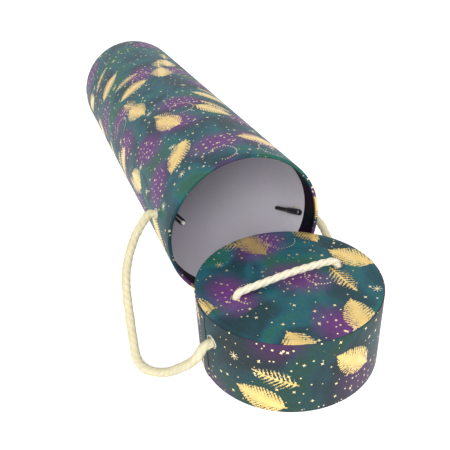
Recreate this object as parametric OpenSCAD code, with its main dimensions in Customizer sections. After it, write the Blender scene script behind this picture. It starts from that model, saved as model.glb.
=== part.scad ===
/* [Tube] */
// Outside diameter of the tube over its printed wrap
tube_d = 102; // [92:1:120]
// Length of the tube from its mouth to the outside of its base
tube_l = 316; // [240:1:400]
// Thickness of the tube's wound board
tube_board_t = 1.8; // [1.2:0.1:3]
// Thickness of the board disc that closes the base
base_board_t = 2; // [1:0.1:4]
// Depth that the wrap turns into the mouth
mouth_turn = 15; // [6:0.5:22]
// Width of the wrap turned in under the base
base_turn = 4; // [3:0.5:20]
// How far the base paper stops short of the tube's outside
base_paper_inset = 1; // [0.6:0.1:4]

/* [Lid] */
// Height of the lid
lid_h = 48; // [42:1:70]
// Thickness of the lid's wall board
lid_board_t = 1.2; // [0.8:0.1:2]
// Thickness of the lid's top board
top_board_t = 1.6; // [1:0.1:3]
// Depth that the wrap turns up inside the lid's rim
rim_turn = 12; // [5:0.5:18]
// Width of the wrap turned in over the lid's top
top_turn = 4; // [3:0.5:15]
// How far the top paper stops short of the lid's outside
top_paper_inset = 0.6; // [0.4:0.1:3]
// Running clearance between the tube and the lid's lining, on the radius
lid_fit = 0.3; // [0.26:0.02:1]

/* [Paper] */
// Thickness of the printed wrap paper
wrap_t = 0.25; // [0.15:0.05:0.5]
// Thickness of the plain lining paper
lining_t = 0.25; // [0.15:0.05:0.5]
// Width of the lap where a wrap's ends are glued over each other
lap_w = 10; // [5:0.5:20]

/* [Rope] */
// Diameter of the rope
rope_d = 5; // [4:0.1:5.6]
// Diameter of the two holes punched through the tube's wall
tube_hole_d = 6; // [5.6:0.1:9]
// Distance of the tube's holes behind its mouth
hole_back = 28.5; // [26:0.5:34]
// How far the line of the tube's holes lies below the tube's axis
tube_hole_low = 1; // [0:0.25:3]
// Diameter of the two holes punched through the lid's wall
lid_hole_d = 7; // [5.6:0.1:9]
// Height of the lid's wall holes above its rim
lid_hole_z = 31.9; // [30:0.1:36]
// Clearance of the rope in the lid's top holes, on the radius
top_hole_fit = 0.4; // [0.3:0.05:1.5]
// Distance of each top hole from the middle of the lid
handle_half = 32.5; // [30:0.5:36]
// Height of the handle's crown above the lid
handle_rise = 4.8; // [4:0.1:12]

/* [Toggles] */
// Diameter of the toggle's socket arm
socket_d = 4.2; // [3.6:0.1:5]
// Length of the socket arm from the rope to its open end
socket_l = 13; // [10:0.5:16]
// Bore of the socket
socket_bore = 2.6; // [2:0.1:3]
// Diameter of the toggle's thin arm
finger_d = 3; // [2:0.1:3.4]
// Length of the thin arm from the rope to its tip
finger_l = 22; // [16:0.5:24]
// Width of the slit at the socket's open end
slit_w = 1; // [0.5:0.1:1.4]
// Distance of the left toggle from the tube's axis
left_toggle_r = 40; // [36:0.5:41]
// Distance of the right toggle from the tube's axis
right_toggle_r = 45.8; // [40:0.1:46]

/* [Arrangement] */
// Gap between the mouth of the tube and the lid standing before it
lid_gap = 2; // [1:0.5:10]
// Sideways shift of the lid from the tube's axis
lid_shift = 3; // [2:0.5:6]

/* [Hidden] */

// Overrun of every cut past the face that it opens
over = 1;
// Gap between the end of a rope and the piece that it meets
end_gap = 0.3;
// Gap between the rope and the edge of the hole that it lies on
rest_gap = 0.25;

// The tube lies along +Y with its mouth towards -Y; angles round it run from +X towards +Z
tube_r = tube_d / 2;
tube_board_r = tube_r - wrap_t;
tube_lining_r = tube_board_r - tube_board_t;
tube_bore_r = tube_lining_r - lining_t;
// Turn of the line of the tube's two holes below level, seen from the mouth
tube_hole_turn = 12;
// Where the wrap's lap lies round the tube
tube_lap_turn = -50;

// The lid stands on its rim; its size follows from the tube that it slides over
lid_bore_r = tube_r + lid_fit;
lid_lining_r = lid_bore_r + lining_t;
lid_board_r = lid_lining_r + lid_board_t;
lid_r = lid_board_r + wrap_t;
// Turns about +Z of the line of the wall holes, of the handle and of the wrap's lap
lid_hole_turn = 14.3;
handle_turn = 3;
lid_lap_turn = 178;

// Places that centre the box without its ropes on the origin, standing on z = 0
tube_x = -(lid_shift + lid_r - tube_r) / 2;
tube_z = tube_r;
mouth_y = (lid_gap + 2 * lid_r - tube_l) / 2;
hole_y = mouth_y + hole_back;
lid_x = tube_x + lid_shift;
lid_y = mouth_y - lid_gap - lid_r;

// The rope lies on the lower edge of each wall hole
rope_r = rope_d / 2;
function rope_drop(d) = (d - rope_d) / 2 - rest_gap;
tube_rope_low = tube_hole_low + rope_drop(tube_hole_d);
lid_rope_z = lid_hole_z - rope_drop(lid_hole_d);
top_hole_d = rope_d + 2 * top_hole_fit;
// Height of the lower ends of the handle's legs inside the lid
leg_z = 18;

// Shoulder between the toggle's two arms, half the rope's width before the rope
shoulder_l = 1.5;
shoulder_z = -rope_r;
// Depth of the socket's bore and of its slit, both short of the rope
bore_l = socket_l - rope_r;
slit_l = bore_l - 1;
// The slit is narrow at its root
slit_root_share = 0.4;
// Play of the rope's cut end in the bore; how far each end stands out of its socket, or lies
// inside it where the number is negative
tip_play = 0.1;
left_tip_out = 1.2;
right_tip_out = -3;
// Turns of the two toggles: swing about the rope, lean off the wall, roll of the slit
left_toggle_turns = [0, -13, 45];
right_toggle_turns = [-21, 0, -45];

// Smoothness of round pieces, and sides of the rope's plain tube
$fn = 96;
rope_sides = 10;

// A point on the rope's line through the tube's holes; side is -1 left, 1 right
function tube_hole_at(side, r) = [
    tube_x + side * r * cos(tube_hole_turn) - tube_rope_low * sin(tube_hole_turn),
    hole_y,
    tube_z - side * r * sin(tube_hole_turn) - tube_rope_low * cos(tube_hole_turn)
];
// A point on the rope's line through the lid's wall holes
function lid_hole_at(side, r) = [
    lid_x + side * r * cos(lid_hole_turn),
    lid_y + side * r * sin(lid_hole_turn),
    lid_rope_z
];
// A point on or near a handle leg, measured along the handle from the lid's axis
function handle_at(side, r, z) = [
    lid_x + side * r * cos(handle_turn),
    lid_y + side * r * sin(handle_turn),
    z
];

// Straight run of the rope outside a wall before it bends, and where it stops short of the lid
straight = 4.5;
stop_r = lid_r + end_gap;
// Where the rope meets the side of a toggle that stands at a distance and leans
function toggle_back_r(r, turns) =
    r + socket_d / 2 / cos(turns[1]) + rope_r * tan(abs(turns[1])) + end_gap;

// Left loop: out of the tube, down to the floor beside the lid and up to the lid's left hole
left_route = [
    tube_hole_at(-1, toggle_back_r(left_toggle_r, left_toggle_turns)),
    tube_hole_at(-1, tube_r),
    tube_hole_at(-1, tube_r + straight),
    [-61, -77.5, 59], [-67.5, -81.5, 53.5], [-73.5, -88, 47.5], [-78.5, -95.5, 41],
    [-82, -104, 34.5], [-84, -113, 27.5], [-85.5, -122.5, 20], [-87, -131.5, 11.5],
    [-87.5, -140, 4.5], [-84.5, -147.5, 2.8], [-78.5, -154, 3.5], [-73, -160, 7.5],
    [-68.5, -166, 14], [-64.5, -171.5, 20.5], [-60.5, -174.8, 26.5],
    lid_hole_at(-1, stop_r + straight),
    lid_hole_at(-1, stop_r)
];
// Right loop: out of the tube and down behind the lid to the lid's right hole
right_route = [
    tube_hole_at(1, toggle_back_r(right_toggle_r, right_toggle_turns)),
    tube_hole_at(1, tube_r),
    tube_hole_at(1, tube_r + straight),
    [56.5, -79, 35.5], [59.5, -86.5, 32.5], [60, -94, 29], [59.5, -103, 24.5], [60, -112, 19.5],
    [61, -121, 14.5], [63.5, -130, 11], [66, -138, 12.5], [66.5, -142.5, 20], [63.5, -143.5, 28],
    lid_hole_at(1, stop_r + straight),
    lid_hole_at(1, stop_r)
];
// Rope inside the lid, from the wall hole down, round and up under the top hole; right side,
// measured from the lid's axis
inner_points = [
    [44.2, 10.9, 30], [43, 9.8, 25], [42.4, 8.5, 19.5], [41.7, 7.1, 14], [39.7, 5.3, 9.8],
    [36.7, 3.5, 8.2], [34, 2.3, 9.8], [32.7, 1.8, 13]
];
function inner_route(side) = concat(
    [lid_hole_at(side, lid_r), lid_hole_at(side, lid_bore_r - straight)],
    [for (p = inner_points) [lid_x + side * p[0], lid_y + side * p[1], p[2]]],
    [handle_at(side, handle_half, leg_z - end_gap)]
);
// One half of the handle from its leg up to the crown, as distances along it and heights
handle_bend = [[0, 0], [0.9, 2.2], [3.3, 3.3], [8.5, 3.9], [19, 4.5]];
function handle_route() = concat(
    [handle_at(-1, handle_half, leg_z), handle_at(-1, handle_half, (leg_z + lid_h) / 2)],
    [for (p = handle_bend) handle_at(-1, handle_half - p[0], lid_h - end_gap + p[1])],
    [handle_at(1, 0, lid_h + handle_rise)],
    [for (i = [4:-1:0]) handle_at(1, handle_half - handle_bend[i][0], lid_h - end_gap + handle_bend[i][1])],
    [handle_at(1, handle_half, (leg_z + lid_h) / 2), handle_at(1, handle_half, leg_z)]
);

// Direction of a route at its point i
function unit(v) = v / norm(v);
function step_dir(p, i) = unit(p[i + 1] - p[i]);
function heading(p, i) =
    i == 0 ? step_dir(p, 0)
    : i == len(p) - 1 ? step_dir(p, i - 1)
    : unit(step_dir(p, i - 1) + step_dir(p, i));
// Side vector at each point, carried along the route so that the tube doesn't twist
function square_to(v, t) = unit(v - (v * t) * t);
function carried(p, v, i = 0, out = []) =
    i == len(p) ? out
    : let (s = square_to(v, heading(p, i))) carried(p, s, i + 1, concat(out, [s]));
function ring(c, t, s) = [
    for (k = [0:rope_sides - 1])
        let (a = 360 * k / rope_sides) c + rope_r * (cos(a) * s + sin(a) * cross(t, s))
];

// Plain tube swept along a route, one ring at each of its points
module rope(route, across) {
    n = rope_sides;
    last = len(route) - 1;
    sides = carried(route, across);
    points = [for (i = [0:last]) each ring(route[i], heading(route, i), sides[i])];
    walls = [
        for (i = [0:last - 1], k = [0:n - 1])
            let (a = i * n + k, b = i * n + (k + 1) % n)
                each [[a, a + n, b], [b, a + n, b + n]]
    ];
    near_cap = [for (k = [0:n - 1]) k];
    far_cap = [for (k = [n - 1:-1:0]) last * n + k];
    polyhedron(points = points, faces = concat(walls, [near_cap, far_cap]), convexity = 6);
}

// The tube's own frame: z runs from the mouth to the base
module along_tube() {
    translate([tube_x, mouth_y, tube_z]) rotate([-90, 0, 0]) children();
}
// The lid's own frame: z runs from the rim to the top
module along_lid() {
    translate([lid_x, lid_y, 0]) children();
}

// Plain sleeve between two radii and two heights
module sleeve(outer_r, inner_r, from, to) {
    rotate_extrude() translate([inner_r, from]) square([outer_r - inner_r, to - from]);
}
// Round sheet whose upper face lies at a height
module sheet(r, top, t) {
    translate([0, 0, top - t]) cylinder(h = t, r = r);
}
// Printed wrap in one piece: turned in at the open edge, up the outside, turned in over the
// closed end, with its lap glued down the side
module turned_wrap(outer_r, length, board_t, turn_in, turn_over, lap_turn) {
    face_r = outer_r - wrap_t;
    inside_r = face_r - board_t;
    rotate_extrude() polygon([
        [outer_r, 0], [outer_r, length - wrap_t],
        [outer_r - turn_over, length - wrap_t], [outer_r - turn_over, length - 2 * wrap_t],
        [face_r, length - 2 * wrap_t], [face_r, wrap_t],
        [inside_r, wrap_t], [inside_r, turn_in],
        [inside_r - lining_t, turn_in], [inside_r - lining_t, 0]
    ]);
    lap_angle = 360 * lap_w / (2 * PI * outer_r);
    rotate([0, 0, lap_turn - lap_angle / 2]) rotate_extrude(angle = lap_angle)
        translate([outer_r - wrap_t / 2, 0]) square([1.5 * wrap_t, length - wrap_t]);
}
// Paper disc over the closed end: it lies on the wrap's turned edge and steps down inside it
module end_paper(outer_r, fold_r, length) {
    low = length - 2 * wrap_t;
    mid = length - wrap_t;
    rotate_extrude() polygon([
        [0, low], [fold_r, low], [fold_r, mid], [outer_r, mid], [outer_r, length],
        [fold_r - wrap_t, length], [fold_r - wrap_t, mid], [0, mid]
    ]);
}

// The two holes punched through the tube on one line
module tube_holes() {
    translate([tube_x, hole_y, tube_z]) rotate([0, tube_hole_turn, 0])
        translate([0, 0, -tube_hole_low]) rotate([0, 90, 0])
            cylinder(h = 2 * (tube_r + over), d = tube_hole_d, center = true);
}
// The two holes punched through the lid's wall on one line
module lid_wall_holes() {
    translate([lid_x, lid_y, lid_hole_z]) rotate([0, 0, lid_hole_turn]) rotate([0, 90, 0])
        cylinder(h = 2 * (lid_r + over), d = lid_hole_d, center = true);
}
// The handle's two holes through the lid's top
module lid_top_holes() {
    for (side = [-1, 1])
        translate(handle_at(side, handle_half, lid_h - top_board_t - lining_t - over))
            cylinder(h = top_board_t + lining_t + 2 * wrap_t + 2 * over, d = top_hole_d, $fn = 48);
}

module tube_board() {
    color("#b9ad98") difference() {
        along_tube() sleeve(tube_board_r, tube_lining_r, wrap_t, tube_l - 2 * wrap_t);
        tube_holes();
    }
}
module tube_wrap() {
    color("#1f5560") difference() {
        along_tube() turned_wrap(tube_r, tube_l, tube_board_t, mouth_turn, base_turn, -tube_lap_turn);
        tube_holes();
    }
}
module tube_lining() {
    color("#d4d0da") difference() {
        along_tube() sleeve(tube_lining_r, tube_bore_r, mouth_turn, tube_l - 2 * wrap_t - base_board_t);
        tube_holes();
    }
}
module tube_base_board() {
    color("#b9ad98") along_tube() sheet(tube_lining_r, tube_l - 2 * wrap_t, base_board_t);
}
module tube_base_paper() {
    color("#1f5560") along_tube() end_paper(tube_r - base_paper_inset, tube_r - base_turn, tube_l);
}
module tube_base_lining() {
    color("#d4d0da") along_tube() sheet(tube_bore_r, tube_l - 2 * wrap_t - base_board_t, lining_t);
}

module lid_wall_board() {
    color("#b9ad98") difference() {
        along_lid() sleeve(lid_board_r, lid_lining_r, wrap_t, lid_h - 2 * wrap_t);
        lid_wall_holes();
    }
}
module lid_top_board() {
    color("#b9ad98") difference() {
        along_lid() sheet(lid_lining_r, lid_h - 2 * wrap_t, top_board_t);
        lid_top_holes();
    }
}
module lid_wrap() {
    color("#1f5560") difference() {
        along_lid() turned_wrap(lid_r, lid_h, lid_board_t, rim_turn, top_turn, lid_lap_turn);
        lid_wall_holes();
    }
}
module lid_top_paper() {
    color("#24606a") difference() {
        along_lid() end_paper(lid_r - top_paper_inset, lid_r - top_turn, lid_h);
        lid_top_holes();
    }
}
module lid_lining() {
    color("#d4d0da") difference() {
        along_lid() sleeve(lid_lining_r, lid_bore_r, rim_turn, lid_h - 2 * wrap_t - top_board_t);
        lid_wall_holes();
    }
}
module lid_top_lining() {
    color("#d4d0da") difference() {
        along_lid() sheet(lid_bore_r, lid_h - 2 * wrap_t - top_board_t, lining_t);
        lid_top_holes();
    }
}

module left_loop() {
    color("#eee3c0") rope(left_route, [0, 1, 0]);
}
module right_loop() {
    color("#eee3c0") rope(right_route, [0, 1, 0]);
}
module left_lid_cord() {
    color("#eee3c0") rope(inner_route(-1), [0, 1, 0]);
}
module right_lid_cord() {
    color("#eee3c0") rope(inner_route(1), [0, 1, 0]);
}
module handle_cord() {
    color("#f0e8cc") rope(handle_route(), [0, 1, 0]);
}

// Places a toggle on the rope's end in the tube, its socket arm turned from +Z to the mouth
module at_toggle(side, r, turns) {
    translate(tube_hole_at(side, r)) rotate([0, tube_hole_turn + (side < 0 ? 180 : 0), 0])
        rotate([turns[0], 0, 0]) rotate([0, 0, turns[1]])
            rotate([90, 0, 0]) rotate([0, 0, turns[2]]) children();
}
// Moulded toggle: a thin arm with a round tip, a shoulder, and a split socket that grips the
// rope's end
module toggle_bar() {
    finger_r = finger_d / 2;
    socket_r = socket_d / 2;
    neck_z = shoulder_z - shoulder_l;
    tip_z = finger_r - finger_l;
    difference() {
        union() {
            translate([0, 0, tip_z]) sphere(d = finger_d, $fn = 32);
            translate([0, 0, tip_z]) cylinder(h = neck_z - tip_z, d = finger_d, $fn = 32);
            translate([0, 0, neck_z]) cylinder(h = shoulder_l, r1 = finger_r, r2 = socket_r, $fn = 32);
            translate([0, 0, shoulder_z]) cylinder(h = socket_l - shoulder_z, d = socket_d, $fn = 32);
        }
        translate([0, 0, socket_l - bore_l]) cylinder(h = bore_l + over, d = socket_bore, $fn = 32);
        translate([0, socket_d, 0]) rotate([90, 0, 0]) linear_extrude(2 * socket_d) polygon([
            [-slit_w * slit_root_share / 2, socket_l - slit_l],
            [slit_w * slit_root_share / 2, socket_l - slit_l],
            [slit_w / 2, socket_l + over],
            [-slit_w / 2, socket_l + over]
        ]);
    }
}
// The rope's cut end in the socket
module rope_tip(out) {
    translate([0, 0, socket_l - bore_l])
        cylinder(h = bore_l + out, d = socket_bore - 2 * tip_play, $fn = 32);
}
module left_toggle() {
    color("#111214") at_toggle(-1, left_toggle_r, left_toggle_turns) toggle_bar();
}
module right_toggle() {
    color("#111214") at_toggle(1, right_toggle_r, right_toggle_turns) toggle_bar();
}
module left_rope_tip() {
    color("#d8d3c4") at_toggle(-1, left_toggle_r, left_toggle_turns) rope_tip(left_tip_out);
}
module right_rope_tip() {
    color("#d8d3c4") at_toggle(1, right_toggle_r, right_toggle_turns) rope_tip(right_tip_out);
}

tube_board();
tube_wrap();
tube_lining();
tube_base_board();
tube_base_paper();
tube_base_lining();
lid_wall_board();
lid_top_board();
lid_wrap();
lid_top_paper();
lid_lining();
lid_top_lining();
left_loop();
right_loop();
left_lid_cord();
right_lid_cord();
handle_cord();
left_toggle();
right_toggle();
left_rope_tip();
right_rope_tip();
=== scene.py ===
import math

import bpy
from mathutils import Matrix, Vector


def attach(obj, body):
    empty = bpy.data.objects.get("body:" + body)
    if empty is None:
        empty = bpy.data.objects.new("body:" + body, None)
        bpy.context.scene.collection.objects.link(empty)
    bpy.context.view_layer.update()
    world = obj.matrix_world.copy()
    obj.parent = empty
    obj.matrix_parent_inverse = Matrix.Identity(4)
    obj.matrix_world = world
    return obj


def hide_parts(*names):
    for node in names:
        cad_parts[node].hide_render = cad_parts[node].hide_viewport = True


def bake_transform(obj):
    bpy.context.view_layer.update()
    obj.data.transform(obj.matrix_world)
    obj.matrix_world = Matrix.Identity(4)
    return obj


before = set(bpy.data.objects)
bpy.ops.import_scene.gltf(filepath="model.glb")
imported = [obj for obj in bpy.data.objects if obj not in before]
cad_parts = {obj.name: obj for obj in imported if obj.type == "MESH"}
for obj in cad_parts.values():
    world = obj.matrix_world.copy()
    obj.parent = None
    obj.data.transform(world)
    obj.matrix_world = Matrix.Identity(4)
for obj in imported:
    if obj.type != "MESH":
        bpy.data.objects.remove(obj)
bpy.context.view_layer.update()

MM = 0.001

# The camera: a normal lens, a little to the left of the box and above it, looking down into the
# tube's mouth. Its shift only sets the box where the photograph has it in the frame.
CAMERA_PLACE = (-0.111335, -0.386389, 0.235366)
CAMERA_TURN = 0.36318
CAMERA_DIP = 0.591664
CAMERA_ROLL = -0.0385195
CAMERA_LENS = 44.8
CAMERA_SHIFT = (-0.04486, 0.06766)
camera_data = bpy.data.cameras.new("camera")
camera_data.sensor_width = 36
camera_data.lens = CAMERA_LENS
camera_data.shift_x, camera_data.shift_y = CAMERA_SHIFT
camera = bpy.data.objects.new("camera", camera_data)
bpy.context.scene.collection.objects.link(camera)
camera.matrix_world = (
    Matrix.Translation(CAMERA_PLACE)
    @ Matrix.Rotation(-CAMERA_TURN, 4, "Z")
    @ Matrix.Rotation(math.pi / 2 - CAMERA_DIP, 4, "X")
    @ Matrix.Rotation(CAMERA_ROLL, 4, "Z")
)
bpy.context.scene.camera = camera


# The rope: one length of 5 mm cotton rope, laid from three strands, cream. It runs from a toggle
# in the tube out through the wall, down and up into the lid, out over its top as the handle, and
# back the same way. Here it is cut where it passes from one moving body to the next.
ROPE_D = 5.0
STRAND_R = 1.2
STRAND_AXIS_R = 1.3
THIRD = math.radians(120)
SLACK_LAY = 13.5
TAUT_LAY = 17.5
SLACK_R = 2.75
LEG_R = 2.5
TAUT_R = 2.2
SLACK_FLUFF = 0.84
INNER_FLUFF = 0.7
TAUT_FLUFF = 0.58
LOBE_STEPS = 8
CURVE_STEPS = 24
ROPE_STEP = 0.75
TUBE_R = 51.0
TUBE_ROPE_LOW = 1.25
TUBE_AXIS = (-2.5, 51.0)
TUBE_HOLE_Y = -75.5
TUBE_HOLE_TURN = math.radians(12)
LEFT_SHOULDER_R = 43.03
RIGHT_SHOULDER_R = 48.2
OUT_OF_TUBE_R = 55.5
LID_R = 53.0
LID_AXIS = (0.5, -159.0)
LID_ROPE_Z = 31.15
LID_HOLE_TURN = math.radians(14.3)
OUT_OF_LID_R = 57.8
IN_LID_R = 46.8
HANDLE_TURN = math.radians(3)
HANDLE_HALF = 32.5
HANDLE_CROWN_Z = 52.8
LEG_Z = 18.0
LEG_MIDDLE_Z = 33


def srgb(text):
    """A colour written as sRGB hex, as the linear values that the shader takes"""
    parts = [int(text[i:i + 2], 16) / 255 for i in (1, 3, 5)]
    return [c / 12.92 if c <= 0.04045 else ((c + 0.055) / 1.055) ** 2.4 for c in parts] + [1.0]


def add(tree, kind, settings=(), inputs=()):
    """One shader node, with its settings, and its inputs set or linked"""
    made = tree.nodes.new(kind)
    for name, value in dict(settings).items():
        setattr(made, name, value)
    for name, value in dict(inputs).items():
        if isinstance(value, bpy.types.Node):
            value = value.outputs[0]
        if isinstance(value, bpy.types.NodeSocket):
            tree.links.new(value, made.inputs[name])
        else:
            made.inputs[name].default_value = value
    return made


def new_material(name, base):
    """A material with nothing in it but its shader, which takes the colour that base gives"""
    made = bpy.data.materials.new(name)
    made.use_nodes = True
    made.diffuse_color = base
    made.node_tree.nodes.clear()
    tree = made.node_tree
    shader = add(tree, "ShaderNodeBsdfPrincipled", {}, {"Base Color": base})
    add(tree, "ShaderNodeOutputMaterial", {}, {"Surface": shader})
    return made, tree, shader


def tube_hole_at(side, r):
    """On the rope's line through the tube's two holes, r from the tube's axis"""
    across, down = side * r, TUBE_ROPE_LOW
    cos, sin = math.cos(TUBE_HOLE_TURN), math.sin(TUBE_HOLE_TURN)
    return (
        TUBE_AXIS[0] + across * cos - down * sin,
        TUBE_HOLE_Y,
        TUBE_AXIS[1] - across * sin - down * cos,
    )


def lid_hole_at(side, r):
    """On the rope's line through the lid's two wall holes, r from the lid's axis"""
    return (
        LID_AXIS[0] + side * r * math.cos(LID_HOLE_TURN),
        LID_AXIS[1] + side * r * math.sin(LID_HOLE_TURN),
        LID_ROPE_Z,
    )


def handle_at(side, r, z, back=0):
    """On or near the handle, r along it from the lid's axis"""
    return (
        LID_AXIS[0] + side * r * math.cos(HANDLE_TURN),
        LID_AXIS[1] + side * r * math.sin(HANDLE_TURN) + back,
        z,
    )


def smooth_path(route):
    """The smooth curve through a route's points in millimetres, as even steps in metres"""
    points = [Vector(p) for p in route]
    points = [2 * points[0] - points[1]] + points + [2 * points[-1] - points[-2]]
    dense = []
    for a, b, c, d in zip(points, points[1:], points[2:], points[3:]):
        at = [0.0]
        for p, q in ((a, b), (b, c), (c, d)):
            at.append(at[-1] + max((q - p).length, 1e-6) ** 0.5)
        for i in range(CURVE_STEPS):
            t = at[1] + (at[2] - at[1]) * i / CURVE_STEPS
            ab = a.lerp(b, (t - at[0]) / (at[1] - at[0]))
            bc = b.lerp(c, (t - at[1]) / (at[2] - at[1]))
            cd = c.lerp(d, (t - at[2]) / (at[3] - at[2]))
            abc = ab.lerp(bc, (t - at[0]) / (at[2] - at[0]))
            bcd = bc.lerp(cd, (t - at[1]) / (at[3] - at[1]))
            dense.append(abc.lerp(bcd, (t - at[1]) / (at[2] - at[1])))
    dense.append(points[-2])
    run = [0.0]
    for p, q in zip(dense, dense[1:]):
        run.append(run[-1] + (q - p).length)
    steps = round(run[-1] / ROPE_STEP)
    even, j = [], 0
    for i in range(steps + 1):
        want = run[-1] * i / steps
        while j < len(run) - 2 and run[j + 1] < want:
            j += 1
        share = (want - run[j]) / max(run[j + 1] - run[j], 1e-9)
        even.append(dense[j].lerp(dense[j + 1], min(max(share, 0), 1)) * MM)
    return even


def laid_rope(name, path, lead, radii, fluff, lay_length):
    """Three strands laid together along a path, as thick as the radii say at shares of its
    length. fluff is the share of each groove that loose fibres fill. lead points at the first
    strand where the rope starts, and the direction at its end is returned, so that the next
    length can match it"""
    lobe = []
    full = STRAND_R + STRAND_AXIS_R
    for k in range(3):
        for i in range(LOBE_STEPS):
            turn = THIRD * ((i + 0.5) / LOBE_STEPS - 0.5)
            reach = STRAND_AXIS_R * math.cos(turn)
            reach += math.sqrt(max(STRAND_R ** 2 - (STRAND_AXIS_R * math.sin(turn)) ** 2, 0))
            reach = reach * (1 - fluff) / full + fluff
            hollow = (1 - math.cos(turn * 1.5)) * (1 - fluff) * 2
            lobe.append((turn + THIRD * k, reach, 1 - hollow))
    sides = len(lobe)
    verts, crowns, laid, slacks = [], [], [], []
    side = Vector(lead)
    done = 0.0
    for i, place in enumerate(path):
        ahead = (path[min(i + 1, len(path) - 1)] - path[max(i - 1, 0)]).normalized()
        side = (side - side.dot(ahead) * ahead).normalized()
        other = ahead.cross(side)
        if i:
            done += (place - path[i - 1]).length / MM
        twist = -math.tau * done / lay_length
        share = i / (len(path) - 1)
        for (before, low), (after, high) in zip(radii, radii[1:]):
            if share >= before:
                thick = low + (high - low) * (share - before) / (after - before)
        slacks.append((thick - TAUT_R) / (SLACK_R - TAUT_R))
        # The yarn's unevenness: two waves along it, under a twentieth together
        thick *= 1 + 0.02 * math.sin(done * 0.55) + 0.015 * math.sin(done * 1.7 + 1)
        for turn, reach, crown in lobe:
            a = turn + twist
            reach *= 1 + 0.025 * (1 - reach) + 0.012 * math.sin(done * 2.3 + turn * 4)
            verts.append(place + (math.cos(a) * side + math.sin(a) * other) * reach * thick * MM)
            crowns.append(crown)
            laid.append((done, a))
    rings = len(path)
    faces = []
    for i in range(rings - 1):
        for k in range(sides):
            n = (k + 1) % sides
            faces.append((i * sides + k, i * sides + n, (i + 1) * sides + n, (i + 1) * sides + k))
    faces.append(tuple(reversed(range(sides))))
    faces.append(tuple(range((rings - 1) * sides, rings * sides)))
    mesh = bpy.data.meshes.new(name)
    mesh.from_pydata([tuple(v) for v in verts], [], faces)
    # The crown attribute carries the grooves' painted shade into the rope's material
    crown_of = mesh.attributes.new("crown", "FLOAT", "POINT")
    crown_of.data.foreach_set("value", crowns)
    # slack carries the handle's painted light and the soiled mottle into the rope's material
    slack_of = mesh.attributes.new("slack", "FLOAT", "POINT")
    slack_of.data.foreach_set("value", [slack for slack in slacks for _ in range(sides)])
    lay = mesh.uv_layers.new(name="Lay")
    for face in mesh.polygons:
        turns = [laid[v][1] for v in face.vertices]
        for loop, turn in zip(face.loop_indices, turns):
            if max(turns) - turn > math.pi:
                turn += math.tau
            at = laid[mesh.loops[loop].vertex_index][0]
            lay.data[loop].uv = (at, turn * ROPE_D / 2)
    mesh.shade_smooth()
    mesh.validate()
    made = bpy.data.objects.new(name, mesh)
    bpy.context.scene.collection.objects.link(made)
    end = math.cos(twist) * side + math.sin(twist) * other
    return made, end


LEFT_ROUTE = [
    tube_hole_at(-1, LEFT_SHOULDER_R), tube_hole_at(-1, TUBE_R), tube_hole_at(-1, OUT_OF_TUBE_R),
    (-61, -77.5, 59), (-67.5, -81.5, 53.5), (-73.5, -88, 47.5), (-78.5, -95.5, 41),
    (-82, -104, 34.5), (-84, -113, 27.5), (-85.5, -122.5, 20), (-87, -131.5, 11.5),
    (-87.5, -140, 4.5), (-84.5, -147.5, 2.8), (-78.5, -154, 3.5), (-73, -160, 7.5),
    (-68.5, -166, 14), (-64.5, -171.5, 20.5), (-60.5, -174.8, 26.5),
    lid_hole_at(-1, OUT_OF_LID_R), lid_hole_at(-1, LID_R),
]
RIGHT_ROUTE = [
    tube_hole_at(1, RIGHT_SHOULDER_R), tube_hole_at(1, TUBE_R), tube_hole_at(1, OUT_OF_TUBE_R),
    (56.5, -79, 35.5), (59.5, -86.5, 32.5), (60, -94, 29), (59.5, -103, 24.5),
    (60, -112, 19.5), (61, -121, 14.5), (63.5, -130, 11), (66, -138, 12.5),
    (66.5, -142.5, 20), (63.5, -143.5, 28), lid_hole_at(1, OUT_OF_LID_R), lid_hole_at(1, LID_R),
]
INNER_POINTS = [
    (44.2, 10.9, 30), (43, 9.8, 25), (42.4, 8.5, 19.5), (41.7, 7.1, 14), (39.7, 5.3, 9.8),
    (36.7, 3.5, 8.2), (34, 2.3, 9.8), (32.7, 1.8, 13),
]
LEFT_BEND = [(32.4, 46.8, 0), (31.6, 49.1, 0), (29.1, 50.3, 0), (24, 51.0, 0), (13.5, 51.8, 0)]
RIGHT_BEND = [
    (32.5, 46.8, 0.2), (31.8, 49.3, 0.6), (29.4, 50.9, 0.9), (24, 51.8, 0.9), (13.5, 52.5, 0.5),
]


def inner_route(side):
    """From a wall hole of the lid down inside it, round one bend and up to the handle's leg"""
    bend = [(LID_AXIS[0] + side * x, LID_AXIS[1] + side * y, z) for x, y, z in INNER_POINTS]
    start = [lid_hole_at(side, LID_R), lid_hole_at(side, IN_LID_R)]
    return start + bend + [handle_at(side, HANDLE_HALF, LEG_Z)]


HANDLE_ROUTE = (
    [handle_at(-1, HANDLE_HALF, LEG_Z), handle_at(-1, HANDLE_HALF, LEG_MIDDLE_Z)]
    + [handle_at(-1, *place) for place in LEFT_BEND]
    + [handle_at(1, 0, HANDLE_CROWN_Z)]
    + [handle_at(1, *place) for place in reversed(RIGHT_BEND)]
    + [handle_at(1, HANDLE_HALF, LEG_MIDDLE_Z), handle_at(1, HANDLE_HALF, LEG_Z)]
)
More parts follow.
